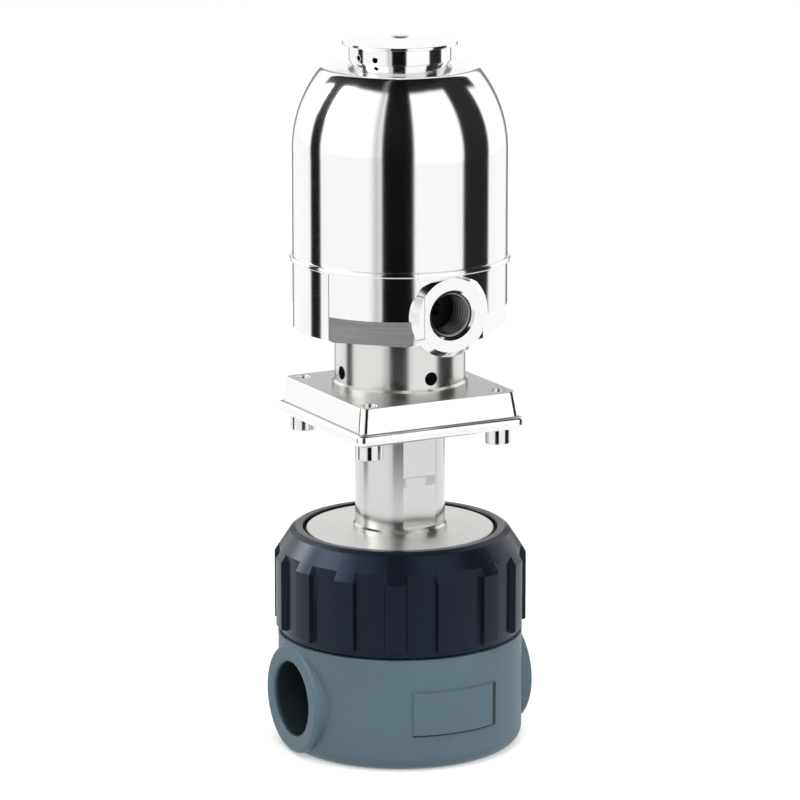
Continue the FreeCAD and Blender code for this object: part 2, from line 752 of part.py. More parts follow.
def square_outline(sketch, width, corner):
    """Draw a centred square with round corners."""
    far = f"({width}) / 2"
    near = f"(({width}) / 2 - {corner})"
    draw(sketch, [
        (near, "-" + far), (far, "-" + near, corner, 1),
        (far, near), (near, far, corner, 1),
        ("-" + near, far), ("-" + far, near, corner, 1),
        ("-" + far, "-" + near), ("-" + near, "-" + far, corner, 1),
    ])


def corner_circles(sketch, radius):
    """Draw a circle at each of the four flange screws."""
    for side_x in ("", "-"):
        for side_y in ("", "-"):
            circle(sketch, side_x + "screw_spacing / 2", side_y + "screw_spacing / 2", radius)


def level_edges(shape):
    """Names of the edges that lie level, which are those round the top and the bottom of a slab."""
    boxes = [(number, edge.BoundBox) for number, edge in enumerate(shape.Edges, start=1)]
    return [f"Edge{number}" for number, box in boxes if box.ZLength < 1e-4]


def lower_flange_plate():
    """The square plate on the neck, with rounded edges and clearance holes for the screws."""
    body = new_body("lower_flange_plate")
    square = new_sketch(body, "square", "XY_Plane", "neck_top")
    square_outline(square, "lower_plate_width", "plate_corner_radius")
    slab = extrude(body, square, "slab", "lower_plate_thickness", kind="Pad")
    before = slab.Shape.Volume
    fillet = body.newObject("PartDesign::Fillet", "lower_flange_plate_round")
    fillet.Base = (slab, level_edges(slab.Shape))
    fillet.setExpression("Radius", formula("lower_plate_round"))
    finish_feature(body, fillet, before)
    holes = new_sketch(body, "holes", "XY_Plane", "neck_top")
    corner_circles(holes, "screw_radius + screw_hole_gap")
    circle(holes, "0", "0", "neck_bore_radius")
    extrude(body, holes, "bores", "lower_plate_thickness", reverse=True)


def upper_flange_plate():
    """The square plate under the actuator, drafted on its sides and tapped for the screws."""
    body = new_body("upper_flange_plate")
    wide = new_sketch(body, "wide", "XY_Plane", "plate_top")
    square_outline(wide, "upper_plate_bottom_width", "plate_corner_radius")
    narrow = new_sketch(body, "narrow", "XY_Plane", "deck_z")
    square_outline(narrow, "upper_plate_top_width", "plate_corner_radius")
    block = body.newObject("PartDesign::AdditiveLoft", "upper_flange_plate_block")
    block.Profile = wide
    block.Sections = [narrow]
    block.Ruled = True
    finish_feature(body, block, 0.0)
    holes = new_sketch(body, "holes", "XY_Plane", "deck_z")
    corner_circles(holes, "screw_radius + screw_thread_gap")
    circle(holes, "0", "0", "neck_bore_radius")
    extrude(body, holes, "bores", "upper_plate_thickness")


def hexagon(sketch, across, x, y):
    """Draw a hexagon of a given width across its flats, centred at x, y."""
    draw(sketch, [
        (f"{x} + ({across}) / 2", f"{y} - ({across}) / 2 * tan(30)"),
        (f"{x} + ({across}) / 2", f"{y} + ({across}) / 2 * tan(30)"),
        (f"{x} + 0 * ({across})" if x != "0" else "0", f"{y} + ({across}) / sqrt(3)"),
        (f"{x} - ({across}) / 2", f"{y} + ({across}) / 2 * tan(30)"),
        (f"{x} - ({across}) / 2", f"{y} - ({across}) / 2 * tan(30)"),
        (f"{x} + 0 * ({across})" if x != "0" else "0", f"{y} - ({across}) / sqrt(3)"),
    ])


def flange_screws():
    """Four socket head cap screws, put in from below."""
    body = new_body("flange_screws")
    place = "screw_spacing / 2"
    head_outline = new_sketch(body, "head_outline", "XY_Plane", "neck_top - screw_head_height")
    circle(head_outline, place, place, "screw_head_radius")
    head = extrude(body, head_outline, "head", "screw_head_height", kind="Pad")
    shank_outline = new_sketch(body, "shank_outline", "XY_Plane", "neck_top - screw_shank_sink")
    circle(shank_outline, place, place, "screw_radius")
    shank = extrude(body, shank_outline, "shank", "deck_z - screw_tip_recess - neck_top + screw_shank_sink",
                    kind="Pad")
    key_outline = new_sketch(body, "key_outline", "XY_Plane", "neck_top - screw_head_height")
    hexagon(key_outline, "screw_socket_across", place, place)
    key = extrude(body, key_outline, "key", "screw_socket_depth", reverse=True)
    before = body.Shape.Volume
    ring = body.newObject("PartDesign::PolarPattern", "flange_screws_ring")
    ring.Originals = [head, shank, key]
    ring.Axis = (origin_feature(body, "Z_Axis"), [""])
    ring.Angle = 360
    ring.Occurrences = 4
    finish_feature(body, ring, before)


def distance_piece():
    """The turned spacer with a foot ring and four tell-tale holes into its bore."""
    body = new_body("distance_piece")
    turn(body, "spacer", [[
        ("spacer_bore_radius", "deck_z"),
        ("spacer_foot_radius", "deck_z"),
        ("spacer_foot_radius", "deck_z + spacer_foot_height"),
        ("spacer_radius", "deck_z + spacer_foot_height + spacer_foot_radius - spacer_radius"),
        ("spacer_radius", "housing_z"),
        ("spacer_bore_radius", "housing_z"),
    ]])
    for name, plane in (("along_y", "XZ_Plane"), ("along_x", "YZ_Plane")):
        hole = new_sketch(body, "telltale_" + name, plane)
        circle(hole, "0", "telltale_z", "telltale_radius")
        extrude(body, hole, "telltales_" + name, "2 * spacer_foot_radius", midplane=True)


def base_housing():
    """The actuator base: flats, collar, plug for the dome, spindle bore and the control air port."""
    body = new_body("base_housing")
    turn(body, "block", [[
        ("bush_seat_radius", "housing_z"),
        ("housing_radius - housing_foot_chamfer", "housing_z"),
        ("housing_radius", "housing_z + housing_foot_chamfer"),
        ("housing_radius", "collar_z"),
        ("collar_radius", "collar_z"),
        ("collar_radius", "collar_top"),
        ("plug_radius", "collar_top"),
        ("plug_radius", "plug_groove_z"),
        ("plug_groove_radius", "plug_groove_z"),
        ("plug_groove_radius", "plug_groove_z + ring_section + seal_slack"),
        ("plug_radius", "plug_groove_z + ring_section + seal_slack"),
        ("plug_radius", "plug_top"),
        ("plug_recess_radius", "plug_top"),
        ("plug_recess_radius", "plug_top - plug_recess_depth"),
        ("plug_hub_radius", "plug_top - plug_recess_depth"),
        ("plug_hub_radius", "plug_top"),
        ("spindle_way_radius", "plug_top"),
        *seal_groove("upper_seal_z"),
        *seal_groove("middle_seal_z"),
        ("spindle_way_radius", "housing_z + bush_length"),
        ("bush_seat_radius", "housing_z + bush_length"),
    ]])
    frame = new_sketch(body, "flat_frame", "XY_Plane", "housing_z")
    reach = "housing_flat_distance * sqrt(2)"
    draw(frame, [(reach, "0"), ("0", reach), ("-" + reach, "0"), ("0", "-" + reach)])
    circle(frame, "0", "0", "2 * housing_radius")
    extrude(body, frame, "flats", "housing_skirt_height", reverse=True)
    turn(body, "air_boss", [[
        ("-air_boss_end", "air_z"),
        ("-air_boss_end", "air_z + air_boss_radius"),
        ("-(air_face - air_boss_chamfer)", "air_z + air_boss_radius"),
        ("-air_face", "air_z + air_boss_radius - air_boss_chamfer"),
        ("-air_face", "air_z"),
    ]], plane="YZ_Plane", axis_height="air_z")
    turn(body, "air_port", [[
        ("-air_way_end", "air_z"),
        ("-air_way_end", "air_z + air_way_radius"),
        ("-(air_face - air_thread_length)", "air_z + air_way_radius"),
        ("-(air_face - air_thread_length)", "air_z + air_thread_radius"),
        ("-(air_face - air_mouth_radius + air_thread_radius)", "air_z + air_thread_radius"),
        ("-air_face", "air_z + air_mouth_radius"),
        ("-(air_face + collar_height)", "air_z + air_mouth_radius"),
        ("-(air_face + collar_height)", "air_z"),
    ]], kind="Groove", plane="YZ_Plane", axis_height="air_z")
    way = new_sketch(body, "air_way", "XY_Plane", "plug_top - plug_recess_depth")
    circle(way, "0", "-air_way_distance", "air_riser_radius")
    extrude(body, way, "air_riser", "plug_top - plug_recess_depth - air_z")


def ring_seal(label, radius, height, section):
    """An O-ring of round section, centred at a radius and height."""
    body = new_body(label)
    turn(body, "ring", [round_section(radius, height, section)])


def dome():
    """The drawn cylinder whose ogive top carries a shallow roof with the cap's hole."""
    body = new_body("dome")
    turn(body, "shell", [[
        ("bore_radius", "collar_top"),
        ("housing_radius", "collar_top"),
        ("housing_radius", "dome_arc_z"),
        ("rim_radius", "rim_z", "dome_arc_radius", 1),
        ("dome_roof_radius", "roof_z"),
        ("cap_groove_outer", "roof_z"),
        ("cap_groove_outer", "roof_z - seal_section - seal_gap"),
        ("cap_groove_inner", "roof_z - seal_section - seal_gap"),
        ("cap_groove_inner", "roof_z"),
        ("cap_hole_radius", "roof_z"),
        ("cap_hole_radius", "ceiling_z"),
        ("ceiling_radius", "ceiling_z"),
        ("bore_radius", "dome_arc_z", "inner_arc_radius", -1),
    ]])


def top_cap():
    """The mushroom vent cap: hollow stem, neck with two vents, and a crowned disc."""
    body = new_body("top_cap")
    turn(body, "mushroom", [[
        ("cap_cavity_radius", "roof_z - cap_stem_length"),
        ("cap_stem_radius", "roof_z - cap_stem_length"),
        ("cap_stem_radius", "roof_z"),
        ("cap_neck_radius", "roof_z"),
        ("cap_neck_radius", "cap_neck_top"),
        ("cap_disc_radius", "cap_neck_top"),
        ("cap_disc_radius", "cap_neck_top + cap_disc_edge"),
        ("indicator_way", "cap_top - cap_sphere + sqrt(cap_sphere ^ 2 - indicator_way ^ 2)",
         "cap_sphere", 1),
        ("indicator_way", "cap_neck_top - cap_disc_floor"),
        ("cap_cavity_radius", "cap_neck_top - cap_disc_floor"),
    ]])
    for name in ("vent_first", "vent_second"):
        hole = new_sketch(body, name, "YZ_Plane")
        turned = FreeCAD.Rotation(V(0, 1, 0), value(name + "_turn"))
        hole.AttachmentOffset = FreeCAD.Placement(V(0, 0, 0), turned)
        hole.setExpression(".AttachmentOffset.Rotation.Angle", formula(name + "_turn"))
        circle(hole, "0", "roof_z + vent_lift", "vent_radius")
        extrude(body, hole, name + "_bore", "2 * cap_neck_radius")


def spindle():
    """The polished rod from compressor to piston, with a thinner top for piston and locknut."""
    body = new_body("spindle")
    turn(body, "rod", [[
        ("0", "spindle_bottom"),
        ("spindle_radius", "spindle_bottom"),
        ("spindle_radius", "piston_z"),
        ("spindle_neck_radius", "piston_z"),
        ("spindle_neck_radius", "spindle_top"),
        ("indicator_shank_radius + pin_fit", "spindle_top"),
        ("indicator_shank_radius + pin_fit", "spindle_top - indicator_shank_length"),
        ("0", "spindle_top - indicator_shank_length"),
    ]])
    cross_hole(body)


def piston():
    """The piston: seal groove round its edge and a dish that seats the springs."""
    body = new_body("piston")
    turn(body, "disc", [[
        ("spindle_neck_radius + piston_hub_fit", "piston_z"),
        ("piston_radius", "piston_z"),
        ("piston_radius", "piston_groove_z"),
        ("piston_groove_radius", "piston_groove_z"),
        ("piston_groove_radius", "piston_groove_z + ring_section + seal_slack"),
        ("piston_radius", "piston_groove_z + ring_section + seal_slack"),
        ("piston_radius", "piston_top"),
        ("piston_relief_radius", "piston_top"),
        ("piston_relief_radius", "piston_dish_z"),
        ("spindle_neck_radius + piston_hub_fit", "piston_dish_z"),
    ]])


def piston_washer():
    """The washer under the locknut."""
    body = new_body("piston_washer")
    turn(body, "ring", [[
        ("spindle_neck_radius + piston_hub_fit", "piston_dish_z"),
        ("washer_radius", "piston_dish_z"),
        ("washer_radius", "washer_top"),
        ("spindle_neck_radius + piston_hub_fit", "washer_top"),
    ]])


def piston_locknut():
    """The hexagon nut that holds the piston on the spindle."""
    body = new_body("piston_locknut")
    outline = new_sketch(body, "hexagon", "XY_Plane", "washer_top")
    hexagon(outline, "locknut_across", "0", "0")
    circle(outline, "0", "0", "spindle_neck_radius + piston_hub_fit")
    extrude(body, outline, "nut", "locknut_height", kind="Pad")


def coil_spring(label, radius, wire, turns):
    """A round wire spring between the piston dish and the dome's ceiling."""
    body = new_body(label)
    section = new_sketch(body, "wire")
    draw(section, round_section(radius, f"piston_dish_z + spring_seat_gap + {wire} / 2", wire))
    coil = body.newObject("PartDesign::AdditiveHelix", label + "_coil")
    coil.Profile = section
    coil.ReferenceAxis = (section, ["V_Axis"])
    coil.Mode = "height-turns-angle"
    coil.setExpression("Height", formula(f"ceiling_z - piston_dish_z - 2 * spring_seat_gap - {wire}"))
    coil.setExpression("Turns", formula(turns))
    finish_feature(body, coil, 0.0)


def indicator_pin():
    """The pin on top of the spindle whose tip shows in the cap when the valve opens."""
    body = new_body("indicator_pin")
    turn(body, "pin", [[
        ("0", "spindle_top - indicator_shank_length"),
        ("indicator_shank_radius", "spindle_top - indicator_shank_length"),
        ("indicator_shank_radius", "spindle_top"),
        ("indicator_radius", "spindle_top"),
        ("indicator_radius", "cap_top"),
        ("indicator_radius - indicator_proud", "cap_top + indicator_proud"),
        ("0", "cap_top + indicator_proud"),
    ]])


def check_document():
    """Stop if any object failed or any piece is empty or not valid."""
    for item in doc.Objects:
        if "Invalid" in item.State or "Error" in item.State:
            raise RuntimeError(item.Name + " failed: " + " ".join(item.State))
    for body in doc.findObjects("PartDesign::Body"):
        if body.Shape.isNull() or not body.Shape.isValid() or not body.Shape.Solids:
            raise RuntimeError(body.Label + " has no valid solid")


def export_pieces():
    """Write each piece to a file named after its node."""
    os.makedirs("parts", exist_ok=True)
    for body in doc.findObjects("PartDesign::Body"):
        body.Shape.exportStep(f"parts/{body.Label}.step")


fill_sheet()
valve_body()
mounting_inserts()
diaphragm()
diaphragm_stud()
compressor()
compressor_pin()
bonnet()
spindle_seals()
guide_bush("lower_guide_bush", "lower_bush_z")
guide_bush("upper_guide_bush", "housing_z")
union_nut()
neck_tube()
lower_flange_plate()
upper_flange_plate()
flange_screws()
distance_piece()
base_housing()
ring_seal("dome_seal", "bore_radius - seal_gap - ring_section / 2",
          "plug_groove_z + (ring_section + seal_slack) / 2", "ring_section")
dome()
top_cap()
ring_seal("cap_seal", "cap_seal_radius", "roof_z - (seal_section + seal_gap) / 2", "seal_section")
spindle()
piston()
ring_seal("piston_seal", "bore_radius - piston_seal_gap - ring_section / 2",
          "piston_groove_z + (ring_section + seal_slack) / 2", "ring_section")
piston_washer()
piston_locknut()
coil_spring("outer_spring", "outer_spring_radius", "outer_spring_wire", "outer_spring_turns")
coil_spring("inner_spring", "inner_spring_radius", "inner_spring_wire", "inner_spring_turns")
indicator_pin()
doc.recompute()
check_document()
export_pieces()
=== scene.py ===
import math

import bpy
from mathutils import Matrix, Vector
import numpy as np


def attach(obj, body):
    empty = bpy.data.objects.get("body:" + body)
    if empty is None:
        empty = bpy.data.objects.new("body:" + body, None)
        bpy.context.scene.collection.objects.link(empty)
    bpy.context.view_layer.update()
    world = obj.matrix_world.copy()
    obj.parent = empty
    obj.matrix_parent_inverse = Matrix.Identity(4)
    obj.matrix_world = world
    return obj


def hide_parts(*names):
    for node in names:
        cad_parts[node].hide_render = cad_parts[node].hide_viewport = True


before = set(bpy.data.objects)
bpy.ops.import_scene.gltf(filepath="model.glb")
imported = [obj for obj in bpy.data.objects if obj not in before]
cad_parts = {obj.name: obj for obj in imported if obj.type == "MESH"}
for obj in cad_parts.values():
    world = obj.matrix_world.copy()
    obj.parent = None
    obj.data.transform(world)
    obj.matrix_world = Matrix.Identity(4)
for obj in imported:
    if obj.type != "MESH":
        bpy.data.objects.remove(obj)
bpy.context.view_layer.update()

# The studio: the valve stands on a white floor in a white tent, and is photographed with a long
# lens from above the left end of its pipe. Black cards round the tent, which only reflections
# show, give the polished steel its dark bands, as a product photographer places them.
CAMERA_SIDE = math.radians(-28.0)
CAMERA_SPOT = (-0.5360, -1.0080, 0.3605)
CAMERA_AIM = (0.0, 0.0, 0.0926)
CARD_DISTANCE = 0.25
CARD_MIDDLE = 0.12


def srgb(colour):
    """A colour written as an sRGB hex value, turned to the linear values that a shader takes."""
    parts = np.array([int(colour[place:place + 2], 16) for place in (1, 3, 5)]) / 255.0
    linear = np.where(parts <= 0.04045, parts / 12.92, ((parts + 0.055) / 1.055) ** 2.4)
    return (*linear.tolist(), 1.0)


def add_node(tree, kind, inputs=None, **settings):
    """Add one shader node, with its settings, and with its inputs as values or as links."""
    node = tree.nodes.new("ShaderNode" + kind)
    for name, setting in settings.items():
        setattr(node, name, setting)
    for name, given in (inputs or {}).items():
        if isinstance(given, bpy.types.NodeSocket):
            tree.links.new(given, node.inputs[name])
        else:
            node.inputs[name].default_value = given
    return node


def grid_mesh(name, points, wrap_rows=False, wrap_columns=False):
    """A mesh whose vertex at row i and column j is points[i, j], in metres, with a quad between each
    vertex and its neighbours, and with the last row or column joined to the first where it wraps."""
    rows, columns = points.shape[:2]
    number = np.arange(rows * columns).reshape(rows, columns)
    below = number if wrap_rows else number[:-1]
    above = np.roll(number, -1, axis=0) if wrap_rows else number[1:]
    if wrap_columns:
        corners = (below, np.roll(below, -1, axis=1), np.roll(above, -1, axis=1), above)
    else:
        corners = (below[:, :-1], below[:, 1:], above[:, 1:], above[:, :-1])
    quads = np.stack(corners, axis=-1).reshape(-1, 4)
    mesh = bpy.data.meshes.new(name)
    mesh.from_pydata(points.reshape(-1, 3), [], quads)
    piece = bpy.data.objects.new(name, mesh)
    bpy.context.scene.collection.objects.link(piece)
    return piece


def point_at(item, spot, aim):
    """Put a lamp or camera at a spot, looking at an aim."""
    item.location = spot
    direction = np.array(aim) - np.array(spot)
    item.rotation_mode = "QUATERNION"
    item.rotation_quaternion = Vector(direction).to_track_quat("-Z", "Y")


scene = bpy.context.scene
scene.view_settings.view_transform = "Standard"

camera_lens = bpy.data.cameras.new("camera")
camera_lens.lens = 200.0
camera_lens.sensor_width = 36.0
camera = bpy.data.objects.new("camera", camera_lens)
scene.collection.objects.link(camera)
point_at(camera, CAMERA_SPOT, CAMERA_AIM)
scene.camera = camera

world = bpy.data.worlds.new("white_tent")
scene.world = world
world.use_nodes = True
tree = world.node_tree
tree.nodes.clear()
ray = add_node(tree, "LightPath")
seen = add_node(tree, "Math", {0: ray.outputs["Is Camera Ray"], 1: ray.outputs["Is Glossy Ray"]},
                operation="ADD")
seen = add_node(tree, "Math", {0: seen.outputs[0], 1: ray.outputs["Is Transmission Ray"]},
                operation="ADD", use_clamp=True)
level = add_node(tree, "MapRange", {"Value": seen.outputs[0], "To Min": 0.55, "To Max": 1.05})
shine = add_node(tree, "Background", {"Color": (1.0, 1.0, 1.0, 1.0), "Strength": level.outputs[0]})
tree.links.new(shine.outputs[0], add_node(tree, "OutputWorld").inputs[0])

FLOOR_HALF = 4.0
side = np.array([-FLOOR_HALF, FLOOR_HALF])
floor_x, floor_y = np.meshgrid(side, side)
floor = grid_mesh("floor", np.stack([floor_x, floor_y, np.zeros((2, 2))], axis=-1))
paper = bpy.data.materials.new("white_paper")
paper.use_nodes = True
tree = paper.node_tree
tree.nodes.clear()
ray = add_node(tree, "LightPath")
matt = add_node(tree, "BsdfDiffuse", {"Color": srgb("#dadad8")})
glow = add_node(tree, "Emission", {"Color": (1.0, 1.0, 1.0, 1.0), "Strength": 0.42})
lit = add_node(tree, "AddShader", {0: matt.outputs[0], 1: glow.outputs[0]})
white = add_node(tree, "Emission", {"Color": (1.0, 1.0, 1.0, 1.0), "Strength": 1.05})
seen = add_node(tree, "MixShader",
                {0: ray.outputs["Is Camera Ray"], 1: matt.outputs[0], 2: lit.outputs[0]})
mirrored = add_node(tree, "MixShader",
                    {0: ray.outputs["Is Glossy Ray"], 1: seen.outputs[0], 2: white.outputs[0]})
tree.links.new(mirrored.outputs[0], add_node(tree, "OutputMaterial").inputs[0])
floor.data.materials.append(paper)

# Each lamp: name, side from the camera and height as angles in degrees, distance and size in
# metres, and the light that it sends a surface facing it, where 1 shows a colour as written.
for name, turn, height, distance, size, amount in (("key_box", -12.0, 46.0, 1.2, 0.80, 0.52),
                                                   ("fill_box", 62.0, 30.0, 1.3, 0.80, 0.20),
                                                   ("top_box", 10.0, 86.0, 1.2, 0.60, 0.25),
                                                   ("back_box", 170.0, 40.0, 1.4, 0.90, 0.25)):
    lamp = bpy.data.lights.new(name, "AREA")
    lamp.size = size
    lamp.energy = amount * (math.pi * distance) ** 2
    box = bpy.data.objects.new(name, lamp)
    scene.collection.objects.link(box)
    box.visible_glossy = False
    around, up = CAMERA_SIDE + math.radians(turn), math.radians(height)
    point_at(box, (distance * math.cos(up) * math.sin(around),
                   -distance * math.cos(up) * math.cos(around),
                   distance * math.sin(up) + CAMERA_AIM[2]), CAMERA_AIM)


def card(name, first, last, low, high, distance, soft, tone):
    """A card bent round the valve: a patch of a sphere between two sides, as angles in degrees
    from the camera, and two heights, as angles above the level of its middle. The lower height may
    change from side to side, as a list of equal steps. The card thins out over its soft edge,
    in degrees. A black card has a tone near 0, the tent itself 1, and a lit panel one above 1."""
    turn = np.linspace(first, last, 65)
    low = np.interp(turn, np.linspace(first, last, np.size(low)), np.atleast_1d(low))
    share = np.linspace(0, 1, 65)[:, None]
    lift = low + (high - low) * share
    around, up = np.broadcast_to(np.radians(turn) + CAMERA_SIDE, lift.shape), np.radians(lift)
    points = np.stack([np.cos(up) * np.sin(around), -np.cos(up) * np.cos(around), np.sin(up)],
                      axis=-1)
    piece = grid_mesh(name, points * distance + np.array([0.0, 0.0, CARD_MIDDLE]))
    across = np.minimum(turn - first, last - turn)
    along = np.minimum(lift - low, high - lift)
    amount = np.clip(np.minimum(across, along) / soft, 0, 1)
    amount = amount * amount * (3 - 2 * amount)
    attribute = piece.data.attributes.new("cover", "FLOAT", "POINT")
    attribute.data.foreach_set("value", amount.ravel())
    material = bpy.data.materials.new(name)
    material.use_nodes = True
    tree = material.node_tree
    tree.nodes.clear()
    cover = add_node(tree, "Attribute", attribute_name="cover")
    clear = add_node(tree, "BsdfTransparent")
    shown = add_node(tree, "Emission", {"Color": (1.0, 1.0, 1.0, 1.0), "Strength": tone})
    cloth = add_node(tree, "MixShader",
                     {0: cover.outputs["Fac"], 1: clear.outputs[0], 2: shown.outputs[0]})
    tree.links.new(cloth.outputs[0], add_node(tree, "OutputMaterial").inputs[0])
    piece.data.materials.append(material)
    piece.visible_camera = False
    piece.visible_diffuse = False
    piece.visible_shadow = False
    piece.visible_transmission = False


# The front card's band in the steel is sharp on its right, and a thin cloth fades it on its left.
card("card_front", -19.5, 15.5, -25.0, 80.0, CARD_DISTANCE, 3.0, 0.004)
card("card_fade", -33.0, -14.0, -25.0, 80.0, 1.02 * CARD_DISTANCE, 15.0, 0.35)
card("card_left", -106.0, -87.5, -25.0, 60.0, CARD_DISTANCE, 2.5, 0.008)
card("card_right", 65.0, 105.0, -25.0, 62.0, CARD_DISTANCE, 4.0, 0.016)
card("card_roof", -128.0, 124.0, [24, 36, 46, 51, 53, 54, 53, 51, 46, 36, 24], 89.0, 1.0, 3.0,
     0.010)
card("softbox", -122.0, -58.0, 14.0, 50.0, 1.1, 8.0, 5.0)
card("lit_left", -150.0, -8.0, -3.0, 56.0, 1.2, 5.0, 1.25)
card("lit_right", 8.0, 150.0, -60.0, 56.0, 1.2, 5.0, 1.2)
card("card_back_left", -166.0, -150.0, -25.0, 60.0, CARD_DISTANCE, 4.0, 0.25)
card("card_back_right", 146.0, 164.0, -25.0, 60.0, CARD_DISTANCE, 4.0, 0.25)

# Mounting inserts: two threaded brass bushes in the underside of the body, moulded in when the
# body is made, so that the valve can be screwed down onto a plate.
MM = 0.001


def start_material(name):
    """A new material and its node tree, with its surface shader ready to take links."""
    material = bpy.data.materials.new(name)
    material.use_nodes = True
    tree = material.node_tree
    return material, tree, tree.nodes["Principled BSDF"]


def set_inputs(tree, shader, inputs):
    """Set a shader's inputs, as values or as links."""
    for name, given in inputs.items():
        if isinstance(given, bpy.types.NodeSocket):
            tree.links.new(given, shader.inputs[name])
        else:
            shader.inputs[name].default_value = given


def turned_metal(name, colour, shade, roughness, spacing, depth, edge=0.0, faced=1.0):
    """Metal cut on a lathe. Its tool marks are rings round the spindle's axis: noise that is read at
    (distance from the axis, height) divided by the spacing in millimetres, so it doesn't change
    round the piece. The marks rise by depth, in millimetres, and make the gloss uneven. Sharp edges
    shade as if they were broken to a radius, also in millimetres, unless that is 0. On a piece with
    milled flats the distance from the axis doesn't count, and faced is 0."""
    material, tree, shader = start_material(name)
    place = add_node(tree, "TexCoord")
    parts = add_node(tree, "SeparateXYZ", {0: place.outputs["Object"]})
    flat = add_node(tree, "CombineXYZ", {0: parts.outputs[0], 1: parts.outputs[1]})
    radius = add_node(tree, "VectorMath", {0: flat.outputs[0]}, operation="LENGTH")
    across = add_node(tree, "Math", {0: radius.outputs["Value"], 1: faced}, operation="MULTIPLY")
    ring = add_node(tree, "CombineXYZ", {0: across.outputs[0], 1: parts.outputs[2]})
    marks = add_node(tree, "TexNoise",
                     {"Vector": ring.outputs[0], "Scale": 1.0 / (spacing * MM), "Detail": 3.0})
    cloud = add_node(tree, "TexNoise",
                     {"Vector": place.outputs["Object"], "Scale": 1.0 / (9.0 * MM), "Detail": 2.0})
    both = add_node(tree, "Math", {0: marks.outputs[0], 1: cloud.outputs[0]}, operation="MULTIPLY")
    gloss = add_node(tree, "MapRange", {"Value": both.outputs[0], "From Min": 0.1, "From Max": 0.45,
                                        "To Min": roughness * 0.92, "To Max": roughness * 1.1})
    tint = add_node(tree, "Mix", {"Factor": marks.outputs[0], "A": srgb(shade), "B": srgb(colour)},
                    data_type="RGBA")
    rise = add_node(tree, "Bump",
                    {"Height": marks.outputs[0], "Distance": depth * MM, "Strength": 1.0})
    if edge:
        tree.links.new(add_node(tree, "Bevel", {"Radius": edge * MM}, samples=6).outputs[0],
                       rise.inputs["Normal"])
    set_inputs(tree, shader, {"Base Color": tint.outputs["Result"], "Metallic": 1.0,
                              "Roughness": gloss.outputs[0], "Normal": rise.outputs[0]})
    return material


def dress(node, material):
    """Give a CAD node that is shown as it is its finish."""
    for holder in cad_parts[node].material_slots:
        holder.material = material


# Free-cutting brass, knurled and turned: warm yellow, with rings left by the tool.
brass = turned_metal("turned_brass", "#d9b36a", "#b98f48", 0.30, 0.25, 0.0006)
dress("mounting_inserts", brass)

# Valve body: one injection moulding of grey rigid PVC, with a pipe socket at each end, a weir
# between them, a threaded upstand for the union nut, and a raised pad on the front.


def moulded_plastic(name, colour, shade, roughness, specular, grain, depth, edge):
    """Injection-moulded plastic: colour clouded over about 20 mm by the flow of the melt, and a
    spark-eroded mould texture whose grain and depth are in millimetres. Its edges are softened by
    the mould's own radius, also in millimetres."""
    material, tree, shader = start_material(name)
    place = add_node(tree, "TexCoord")
    cloud = add_node(tree, "TexNoise",
                     {"Vector": place.outputs["Object"], "Scale": 1.0 / (20.0 * MM), "Detail": 4.0})
    speck = add_node(tree, "TexNoise",
                     {"Vector": place.outputs["Object"], "Scale": 1.0 / (grain * MM),
                      "Detail": 2.0})
    blend = add_node(tree, "Math", {0: cloud.outputs[0], 1: speck.outputs[0]}, operation="MULTIPLY")
    blend = add_node(tree, "MapRange",
                     {"Value": blend.outputs[0], "From Min": 0.12, "From Max": 0.4})
    tint = add_node(tree, "Mix", {"Factor": blend.outputs[0], "A": srgb(shade), "B": srgb(colour)},
                    data_type="RGBA")
    gloss = add_node(tree, "MapRange", {"Value": cloud.outputs[0], "From Min": 0.3, "From Max": 0.7,
                                        "To Min": roughness * 0.9, "To Max": roughness * 1.12})
    soft = add_node(tree, "Bevel", {"Radius": edge * MM}, samples=4)
    rise = add_node(tree, "Bump",
                    {"Height": speck.outputs[0], "Distance": depth * MM, "Strength": 1.0,
                     "Normal": soft.outputs[0]})
    set_inputs(tree, shader, {"Base Color": tint.outputs["Result"], "Roughness": gloss.outputs[0],
                              "Specular IOR Level": specular, "Normal": rise.outputs[0]})
    return material


PORT_HEIGHT = 15.0

# Grey PVC-U: a blue-grey, opaque, slightly waxy plastic with a fine matt mould texture.
# The pipe sockets are machined after moulding, and painted shade darkens their bores.
pvc = moulded_plastic("grey_pvc_moulded", "#566d79", "#50656f", 0.46, 0.35, 0.45, 0.006, 0.25)
BODY_SOCKET_RADIUS = 10.0
tree = pvc.node_tree
parts = add_node(tree, "SeparateXYZ", {0: add_node(tree, "TexCoord").outputs["Object"]})
level = add_node(tree, "Math", {0: parts.outputs[2], 1: -PORT_HEIGHT * MM}, operation="ADD")
ring = add_node(tree, "CombineXYZ", {0: parts.outputs[1], 1: level.outputs[0]})
radius = add_node(tree, "VectorMath", {0: ring.outputs[0]}, operation="LENGTH")
away = add_node(tree, "Math", {0: parts.outputs[0]}, operation="ABSOLUTE")
deep = add_node(tree, "MapRange",
                {"Value": away.outputs[0], "From Min": 32.7 * MM, "From Max": 31.2 * MM})
within = add_node(tree, "MapRange",
                  {"Value": radius.outputs["Value"], "From Min": (BODY_SOCKET_RADIUS + 0.6) * MM,
                   "From Max": (BODY_SOCKET_RADIUS + 0.1) * MM})
bore = add_node(tree, "Math", {0: deep.outputs[0], 1: within.outputs[0]}, operation="MULTIPLY")
surface = tree.nodes["Principled BSDF"]
# Painted shade: past the sockets' mouths and within their radius, the bores turn near black.
painted_bore_shade = add_node(tree, "Mix",
                {"Factor": bore.outputs[0], "A": surface.inputs["Base Color"].links[0].from_socket,
                 "B": srgb("#1d272c")}, data_type="RGBA")
